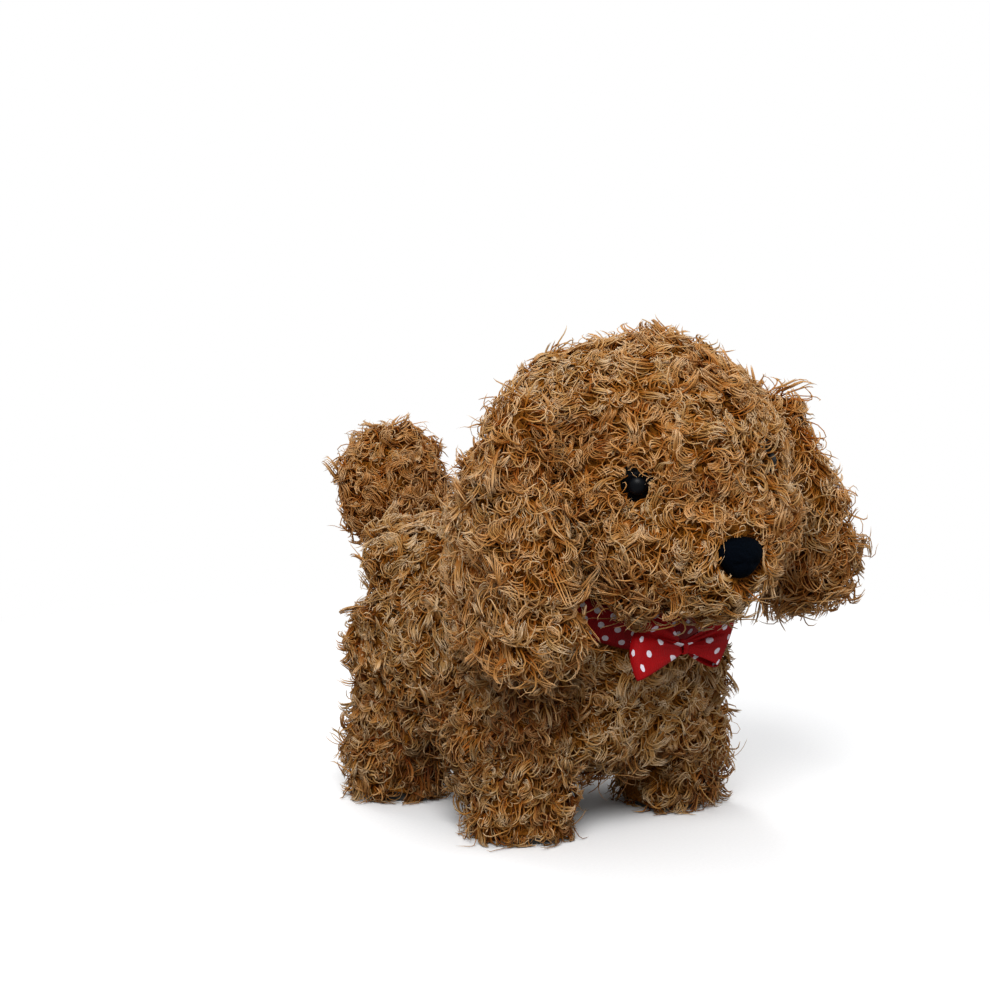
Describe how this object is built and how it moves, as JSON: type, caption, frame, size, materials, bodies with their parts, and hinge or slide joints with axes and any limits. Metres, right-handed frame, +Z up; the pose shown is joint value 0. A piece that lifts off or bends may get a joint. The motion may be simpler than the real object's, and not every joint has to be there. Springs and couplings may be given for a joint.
{
  "type": "interactive plush pet",
  "caption": "Walking plush puppy: curly fur over a geared battery walker with swinging legs, nodding head, wagging tail and ribbon collar.",
  "frame": {"origin": "on the floor, under the middle of the whole toy's box: midway between nose tip and tail along Y, on the casing's split plane in X", "axes": "+Z up, the face looks along -Y, the puppy's left side is +X"},
  "size_m": [0.1405, 0.2119, 0.169],
  "materials": {
    "fur": "curly pile",
    "casing": "fine moulded grain",
    "gear": "satin",
    "linkage": "satin",
    "steel": "bright zinc",
    "brass": "satin",
    "cell": "printed sleeve, no marks",
    "board": "solder mask",
    "black_plastic": "satin",
    "wire": "insulation",
    "sole": "matte",
    "nose": "flocked",
    "eye": "polished",
    "ribbon": "grosgrain with white dots"
  },
  "bodies": {
    "chassis": {"casing_right": "casing", "casing_left": "casing", "casing_screws": "steel", "gearbox_plates": "gear", "gear_axles": "steel", "motor": "steel", "battery_tray": "casing", "battery_cells": "cell", "battery_contacts": "steel", "switch_housing": "black_plastic", "circuit_board": "board", "speaker": "black_plastic", "wires": "wire", "neck_post": "casing", "body_plush": "fur", "collar_ribbon": "ribbon", "bow": "ribbon"},
    "battery_cover": {"battery_door": "casing", "door_screw": "steel"},
    "switch": {"switch_slider": "black_plastic"},
    "crank": {"crank_shaft": "steel", "crank_gear": "gear", "crank_disc_right": "linkage", "crank_disc_left": "linkage"},
    "second_gear": {"second_gear": "gear"},
    "first_gear": {"first_gear": "gear"},
    "rotor": {"motor_pinion": "brass"},
    "head": {"nod_pin": "steel", "head_shell_right": "casing", "head_shell_left": "casing", "head_plush": "fur", "nose": "nose", "eyes": "eye"},
    "ear_right": {"ear_right": "fur"},
    "ear_left": {"ear_left": "fur"},
    "tail": {"tail_lever": "linkage", "tail_arm": "gear", "tail_plush": "fur"},
    "leg_front_right": {"leg_frame_front_right": "gear", "hip_lever_front_right": "linkage", "foot_pad_front_right": "sole", "leg_plush_front_right": "fur"},
    "leg_front_left": {"leg_frame_front_left": "gear", "hip_lever_front_left": "linkage", "foot_pad_front_left": "sole", "leg_plush_front_left": "fur"},
    "leg_rear_right": {"leg_frame_rear_right": "gear", "hip_lever_rear_right": "linkage", "foot_pad_rear_right": "sole", "leg_plush_rear_right": "fur"},
    "leg_rear_left": {"leg_frame_rear_left": "gear", "hip_lever_rear_left": "linkage", "foot_pad_rear_left": "sole", "leg_plush_rear_left": "fur"},
    "rod_right": {"side_rod_right": "linkage"},
    "rod_left": {"side_rod_left": "linkage"}
  },
  "joints": [
    {"name": "front_right_leg_swing", "type": "hinge", "parent": "chassis", "child": "leg_front_right", "pos_m": [0, -0.02681, 0.05], "axis": [1, 0, 0], "range_deg": [-10, 10]},
    {"name": "rear_right_leg_swing", "type": "hinge", "parent": "chassis", "child": "leg_rear_right", "pos_m": [0, 0.04419, 0.05], "axis": [1, 0, 0], "range_deg": [-10, 10]},
    {"name": "front_left_leg_swing", "type": "hinge", "parent": "chassis", "child": "leg_front_left", "pos_m": [0, -0.02681, 0.05], "axis": [1, 0, 0], "range_deg": [-10, 10]},
    {"name": "rear_left_leg_swing", "type": "hinge", "parent": "chassis", "child": "leg_rear_left", "pos_m": [0, 0.04419, 0.05], "axis": [1, 0, 0], "range_deg": [-10, 10]},
    {"name": "right_rod_pivot", "type": "hinge", "parent": "leg_front_right", "child": "rod_right", "pos_m": [0, -0.02681, 0.063], "axis": [1, 0, 0], "range_deg": [-10, 10]},
    {"name": "left_rod_pivot", "type": "hinge", "parent": "leg_front_left", "child": "rod_left", "pos_m": [0, -0.02681, 0.063], "axis": [1, 0, 0], "range_deg": [-10, 10]},
    {"name": "crank_spin", "type": "hinge", "parent": "chassis", "child": "crank", "pos_m": [0, 0.00269, 0.063], "axis": [1, 0, 0], "continuous": true},
    {"name": "second_gear_spin", "type": "hinge", "parent": "chassis", "child": "second_gear", "pos_m": [0, 0.00844, 0.07296], "axis": [1, 0, 0], "continuous": true},
    {"name": "first_gear_spin", "type": "hinge", "parent": "chassis", "child": "first_gear", "pos_m": [0, 0.01994, 0.07296], "axis": [1, 0, 0], "continuous": true},
    {"name": "rotor_spin", "type": "hinge", "parent": "chassis", "child": "rotor", "pos_m": [0, 0.03075, 0.07689], "axis": [1, 0, 0], "continuous": true},
    {"name": "head_nod", "type": "hinge", "parent": "chassis", "child": "head", "pos_m": [0, -0.05031, 0.124], "axis": [-1, 0, 0], "range_deg": [-6, 12]},
    {"name": "right_ear_lift", "type": "hinge", "parent": "head", "child": "ear_right", "pos_m": [-0.05217, -0.04362, 0.14953], "axis": [0.2079, 0.9781, 0], "range_deg": [0, 30]},
    {"name": "left_ear_lift", "type": "hinge", "parent": "head", "child": "ear_left", "pos_m": [0.04531, -0.06199, 0.14616], "axis": [-0.2079, -0.9781, 0], "range_deg": [0, 30]},
    {"name": "tail_wag", "type": "hinge", "parent": "chassis", "child": "tail", "pos_m": [0, 0.05669, 0.074], "axis": [0, 1, 0], "range_deg": [-22, 22]},
    {"name": "switch_throw", "type": "slide", "parent": "chassis", "child": "switch", "axis": [1, 0, 0], "range_m": [0, 0.003]},
    {"name": "battery_cover_off", "type": "slide", "parent": "chassis", "child": "battery_cover", "axis": [0, 0, -1], "range_m": [0, 0.008]}
  ],
  "couplings": [
    {"joint": "rear_right_leg_swing", "follows": "front_right_leg_swing", "ratio": 1},
    {"joint": "front_left_leg_swing", "follows": "front_right_leg_swing", "ratio": -1},
    {"joint": "rear_left_leg_swing", "follows": "front_right_leg_swing", "ratio": -1},
    {"joint": "right_rod_pivot", "follows": "front_right_leg_swing", "ratio": -1},
    {"joint": "left_rod_pivot", "follows": "front_right_leg_swing", "ratio": 1},
    {"joint": "second_gear_spin", "follows": "crank_spin", "ratio": -3.6},
    {"joint": "first_gear_spin", "follows": "crank_spin", "ratio": 12.96},
    {"joint": "rotor_spin", "follows": "crank_spin", "ratio": -46.656}
  ]
}
